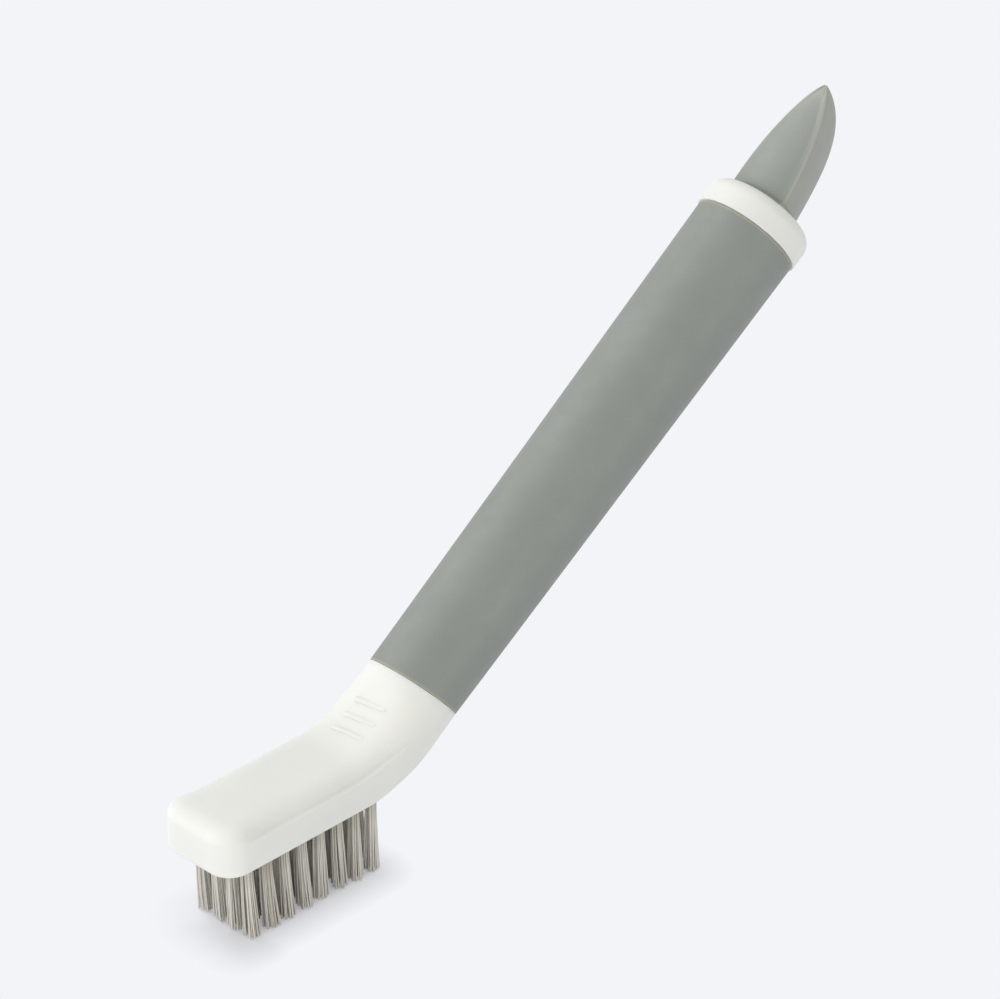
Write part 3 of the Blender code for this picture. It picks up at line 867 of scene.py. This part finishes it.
def grey_rubber(name, greys):
    """Soft-touch rubber: dull, evenly coloured, with a fine tooth. Its colour is left to be linked."""
    made, tree, shader, where = new_finish(name)
    low, high = greys
    even = ramp(tree, grain(tree, where, 45.0, detail=4.0), (NOISE_LOW, low), (NOISE_HIGH, high))
    specks = ramp(tree, grain(tree, where, 5200.0), (0.35, (0.94, 0.94, 0.94)), (0.65, (1.04, 1.04, 1.04)))
    colour = blend(tree, 0.8, even, specks, "MULTIPLY")
    patches = grain(tree, where, 300.0, detail=3.0)
    tree.links.new(spread(tree, patches, 0.52, 0.64), shader.inputs["Roughness"])
    bumps(tree, shader, (grain(tree, where, 120.0), 0.08, 0.12 * MM),
          (grain(tree, where, 4200.0), 0.22, 0.03 * MM))
    shader.inputs["Specular IOR Level"].default_value = 0.75
    return made, tree, shader, where, colour


def grip_rubber():
    """The thin lip at each end of the grip is a little olive."""
    made, tree, shader, where, colour = grey_rubber("grey_rubber_soft", GRIP_GREY)
    for plane, first, last in ((handle_plane(GRIP_SLANT, 0, 0), 0.6 * MM, 0.25 * MM),
                               (handle_plane(0, GRIP_LENGTH, 0), -0.6 * MM, -0.25 * MM)):
        colour = blend(tree, past_plane(tree, where, plane, first, last), colour, LIP_OLIVE)
    tree.links.new(colour, shader.inputs["Base Color"])
    return made


def scraper_rubber():
    """The keel below the face is paler and the point a little olive; the rim between face and keel is
    lighter olive, a tone with a painted highlight in it.
    """
    made, tree, shader, where, colour = grey_rubber("grey_rubber_scraper", SCRAPER_GREY)
    slope = math.atan2(TIP_POINT_HEIGHT - TIP_EDGE_HEIGHT, TIP_LENGTH)
    rim_line = handle_plane(slope - math.pi / 2, TIP_START, TIP_EDGE_HEIGHT)
    below = past_plane(tree, where, rim_line, -0.1 * MM, 0.5 * MM)
    colour = blend(tree, below, colour, KEEL_GREY)
    # painted highlight: a thin band along each rim is coloured lighter olive as if it caught the light; the
    # point gets the same olive
    rim = reckon(tree, "MULTIPLY", past_plane(tree, where, rim_line, -0.45 * MM, -0.25 * MM),
                 past_plane(tree, where, rim_line, 0.35 * MM, 0.05 * MM))
    point = past_plane(tree, where, handle_plane(0, TIP_START + TIP_LENGTH, 0), -6.0 * MM, 0.0)
    colour = blend(tree, reckon(tree, "MAXIMUM", rim, point), colour, RIM_HIGHLIGHT_AND_POINT_OLIVE)
    tree.links.new(colour, shader.inputs["Base Color"])
    return made


def nylon():
    """Grey-beige filaments: each has its own tone, with streaks along it, and painted shade darkens them
    towards the sole.
    """
    made, tree, shader, where = new_finish("bristle_nylon_filaments")
    tone = add_node(tree, "ShaderNodeAttribute", attribute_name="tone").outputs["Fac"]
    down = add_node(tree, "ShaderNodeAttribute", attribute_name="down").outputs["Fac"]
    colour = ramp(tree, tone, (0.0, NYLON_DARK), (0.5, NYLON_BEIGE), (1.0, NYLON_PALE))
    lengthwise = add_node(tree, "ShaderNodeMapping", {"Vector": where, "Scale": (1.0, 1.0, 0.06)})
    streak = lengthwise.outputs["Vector"]
    lines = ramp(tree, grain(tree, streak, 2600.0), (NOISE_LOW, (0.90, 0.90, 0.89)),
                 (NOISE_HIGH, (1.05, 1.05, 1.05)))
    colour = blend(tree, 1.0, colour, lines, "MULTIPLY")
    # painted shade: towards the sole the filaments are darkened and warmed, where the head and the tuft
    # shade them
    root_shade = ramp(tree, down, (0.0, ROOT_SHADE), (0.35, UNSHADED))
    tree.links.new(blend(tree, 1.0, colour, root_shade, "MULTIPLY"), shader.inputs["Base Color"])
    tree.links.new(spread(tree, grain(tree, streak, 900.0), 0.38, 0.55), shader.inputs["Roughness"])
    bumps(tree, shader, (grain(tree, streak, 3800.0), 0.25, 0.03 * MM))
    shader.inputs["Specular IOR Level"].default_value = 0.5
    return made


# The brush

def dress(piece, finish, node):
    piece.data.materials.clear()
    piece.data.materials.append(finish)
    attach(piece, "root")
    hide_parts(node)


def brush():
    body_white = white_plastic("white_plastic_moulded")
    body = brush_moulding()
    smooth(body)
    dress(body, body_white, "brush_body")
    rib_white = white_plastic("white_plastic_ribs", milky=0.0)
    for rib in neck_ribs():
        smooth(rib, weighted=False)
        dress(rib, rib_white, "brush_body")
    grip = grip_cover()
    smooth(grip)
    dress(grip, grip_rubber(), "grip_sleeve")
    collar = collar_ring()
    smooth(collar)
    collar_white = white_plastic("white_plastic_ring", brightness=0.97)
    dress(collar, collar_white, "end_collar")
    tip = scraper_tip()
    smooth(tip)
    dress(tip, scraper_rubber(), "rubber_tip")
    bristle = nylon()
    rod = filament()
    chance = random.Random(TUFT_SEED)
    for row in range(ROWS):
        for column in range(COLUMNS):
            made = tuft(f"filaments_r{row + 1}_c{column + 1}", row, column, rod, chance)
            dress(made, bristle, f"tuft_r{row + 1}_c{column + 1}")
    bpy.data.objects.remove(rod)


# Setting

BACKDROP = (0.896, 0.904, 0.939)
FLOOR_COLOUR = (0.88, 0.89, 0.93)
FLOOR_SIZE = 8.0
FLOOR_DROP = 0.02 * MM          # below the bristles
WORLD_STRENGTH = 0.56
# Patches of floor where the shadow is deep: middle, size, share of the floor's look there that no
# shadow touches, and the distance from the patch at which that share is whole
SHADES = (((4.75 * MM, -3.0 * MM), (2.5 * MM, 10.0 * MM), 0.0, 8.3 * MM),
          ((22.0 * MM, 0.0), (32.0 * MM, 13.0 * MM), 0.30, 8.75 * MM))
LIGHT_TARGET = (0.0, 0.0, 0.05)
CAMERA_SPOT = (TOE - 549.0 * MM, -628.38 * MM, 594.91 * MM)
CAMERA_VIEW = (0.60611, 0.60611, -0.51504)
CAMERA_LENS = 199.4             # in millimetres, as the sensor's width is
CAMERA_SENSOR = 36.0
CAMERA_REACH = (0.05, 20.0)


def seen_directly(tree):
    """1 for what the camera, a reflection or a clear piece shows, and 0 for what lights the scene."""
    paths = add_node(tree, "ShaderNodeLightPath").outputs
    some = reckon(tree, "MAXIMUM", paths["Is Camera Ray"], paths["Is Glossy Ray"])
    return reckon(tree, "MAXIMUM", some, paths["Is Transmission Ray"])


def glow_share(tree):
    """How much of the floor glows: little round the bristles, and more with the distance from them."""
    where = add_node(tree, "ShaderNodeTexCoord").outputs["Object"]
    least = 1.0
    for middle, size, near_glow, whole_at in SHADES:
        centre = HEAD_PLACE @ Vector((*middle, 0))
        half = Vector((size[0] / 2, size[1] / 2, 1.0))
        offset = reckon_place(tree, "SUBTRACT", where, centre)
        away = reckon_place(tree, "ABSOLUTE", offset)
        over = reckon_place(tree, "SUBTRACT", away, half)
        outside = reckon_place(tree, "MAXIMUM", over)
        distance = reckon_place(tree, "LENGTH", outside, output="Value")
        glow = rescale(tree, distance, 0.0, whole_at, near_glow, 1.0)
        least = reckon(tree, "MINIMUM", least, glow)
    return least


def pale_floor():
    deselect()
    bpy.ops.mesh.primitive_plane_add(size=FLOOR_SIZE, location=(0, 0, -FLOOR_DROP))
    floor = named("pale_floor")
    made = bpy.data.materials.new("pale_floor")
    tree = bare_tree(made)
    matt = add_node(tree, "ShaderNodeBsdfDiffuse", {"Color": (*FLOOR_COLOUR, 1.0)})
    glow = add_node(tree, "ShaderNodeEmission", {"Color": (*BACKDROP, 1.0), "Strength": 1.0})
    share = reckon(tree, "MULTIPLY", seen_directly(tree), glow_share(tree))
    both = add_node(tree, "ShaderNodeMixShader", {0: share, 1: matt.outputs[0], 2: glow.outputs[0]})
    add_node(tree, "ShaderNodeOutputMaterial", {"Surface": both.outputs[0]})
    floor.data.materials.append(made)


def pale_world():
    world = bpy.data.worlds.new("pale_studio")
    bpy.context.scene.world = world
    tree = bare_tree(world)
    light = add_node(tree, "ShaderNodeBackground", {"Color": (1.0, 1.0, 1.0, 1.0),
                                                    "Strength": WORLD_STRENGTH})
    show = add_node(tree, "ShaderNodeBackground", {"Color": (*BACKDROP, 1.0), "Strength": 1.0})
    both = add_node(tree, "ShaderNodeMixShader", {0: seen_directly(tree), 1: light.outputs[0],
                                                  2: show.outputs[0]})
    add_node(tree, "ShaderNodeOutputWorld", {"Surface": both.outputs[0]})


def soft_light(name, spot, size, power, colour=(1.0, 1.0, 1.0)):
    """A round lamp on its stand, aimed at the brush."""
    lamp = bpy.data.lights.new(name, "AREA")
    lamp.shape = "DISK"
    lamp.size = size
    lamp.energy = power
    lamp.color = colour
    stand = bpy.data.objects.new(name, lamp)
    bpy.context.collection.objects.link(stand)
    stand.location = spot
    stand.rotation_euler = (Vector(LIGHT_TARGET) - Vector(spot)).to_track_quat("-Z", "Y").to_euler()


def lights():
    soft_light("key_from_behind_the_toe", (-0.5, 1.27, 1.45), size=2.2, power=20.2)
    soft_light("low_fill_at_the_toe", (-2.0, -0.1, 0.35), size=1.0, power=11.5, colour=(1.0, 0.99, 0.97))
    soft_light("low_fill_at_the_side", (0.0, -2.0, 0.35), size=1.0, power=8.0, colour=(1.0, 0.97, 0.92))


def camera():
    made = bpy.data.cameras.new("photo_camera")
    made.sensor_width = CAMERA_SENSOR
    made.lens = CAMERA_LENS
    made.clip_start, made.clip_end = CAMERA_REACH
    stand = bpy.data.objects.new("photo_camera", made)
    bpy.context.collection.objects.link(stand)
    stand.location = CAMERA_SPOT
    stand.rotation_euler = Vector(CAMERA_VIEW).to_track_quat("-Z", "Y").to_euler()
    bpy.context.scene.camera = stand


brush()
pale_floor()
pale_world()
lights()
camera()
bpy.context.scene.view_settings.view_transform = "Standard"
